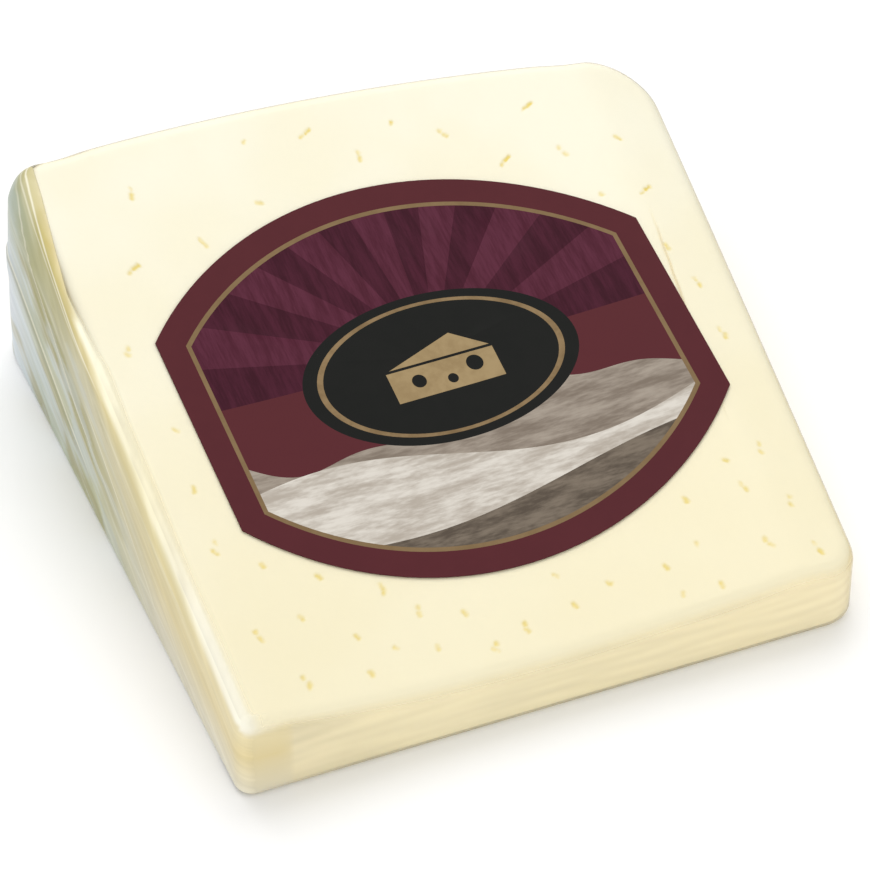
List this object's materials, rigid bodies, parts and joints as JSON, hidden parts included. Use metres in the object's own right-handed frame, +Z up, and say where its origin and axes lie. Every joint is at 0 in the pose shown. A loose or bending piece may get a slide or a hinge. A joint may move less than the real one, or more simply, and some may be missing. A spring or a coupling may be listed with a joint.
{
  "type": "vacuum-packed graviera cheese piece",
  "caption": "Wedge-shaped piece of pale hard cheese cut from a wheel, lying on a cut face in clear shrink film, with a barrel-shaped paper label on top.",
  "frame": {"origin": "middle of the base, on the surface that the piece lies on", "axes": "+X along the wheel's axis, from the piece's left side to its right; +Y from the thin tip to the wheel's rim; +Z up"},
  "size_m": [0.1038, 0.105, 0.0378],
  "materials": {
    "cheese": "pale cream cheese, soft satin, seen through film",
    "film": "clear glossy shrink film",
    "label_paper": "printed paper, satin"
  },
  "bodies": {
    "root": {"wrapped_cheese": "cheese", "label": "label_paper"}
  },
  "joints": []
}
